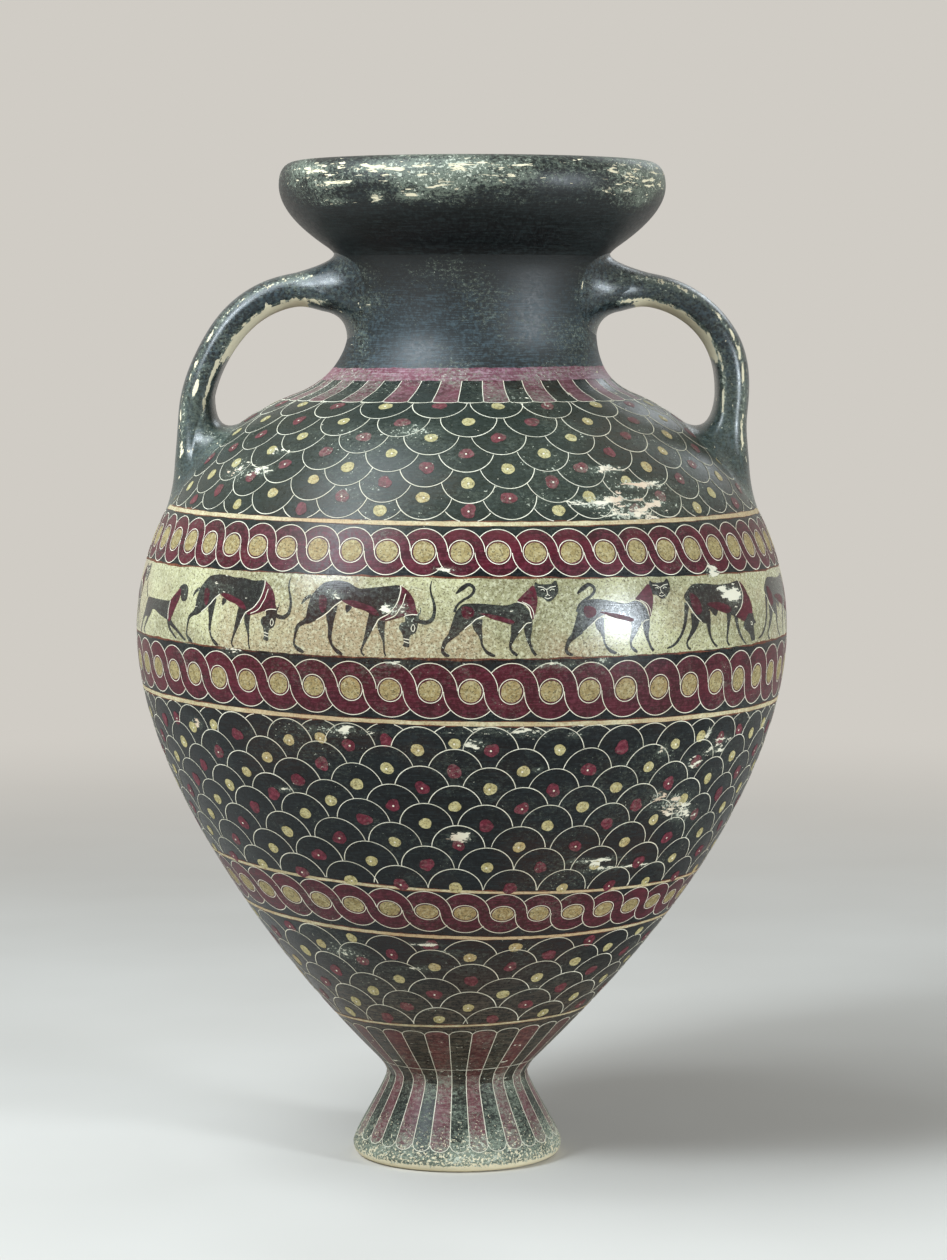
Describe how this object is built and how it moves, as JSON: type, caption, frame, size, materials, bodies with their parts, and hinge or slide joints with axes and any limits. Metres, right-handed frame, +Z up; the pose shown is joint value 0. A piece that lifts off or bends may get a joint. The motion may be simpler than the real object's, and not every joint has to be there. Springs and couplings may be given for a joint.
{
  "type": "neck-amphora",
  "caption": "Tall vase with strap handles, a cushion-shaped mouth, a short neck and a full body on a flaring foot, painted with scales, twisted bands and an animal frieze.",
  "frame": {"origin": "on the ground under the middle of the belly", "axes": "+Z up along the vase, +X towards the right-hand handle, -Y towards the viewer"},
  "size_m": [0.5214, 0.5214, 0.8],
  "materials": {
    "dark_slip": "satin",
    "painted_body": "satin",
    "worn_foot": "matte"
  },
  "bodies": {
    "root": {"foot": "worn_foot", "lower_body": "painted_body", "upper_body": "painted_body", "neck": "dark_slip", "mouth": "dark_slip", "handle_left": "dark_slip", "handle_right": "dark_slip"}
  },
  "joints": []
}
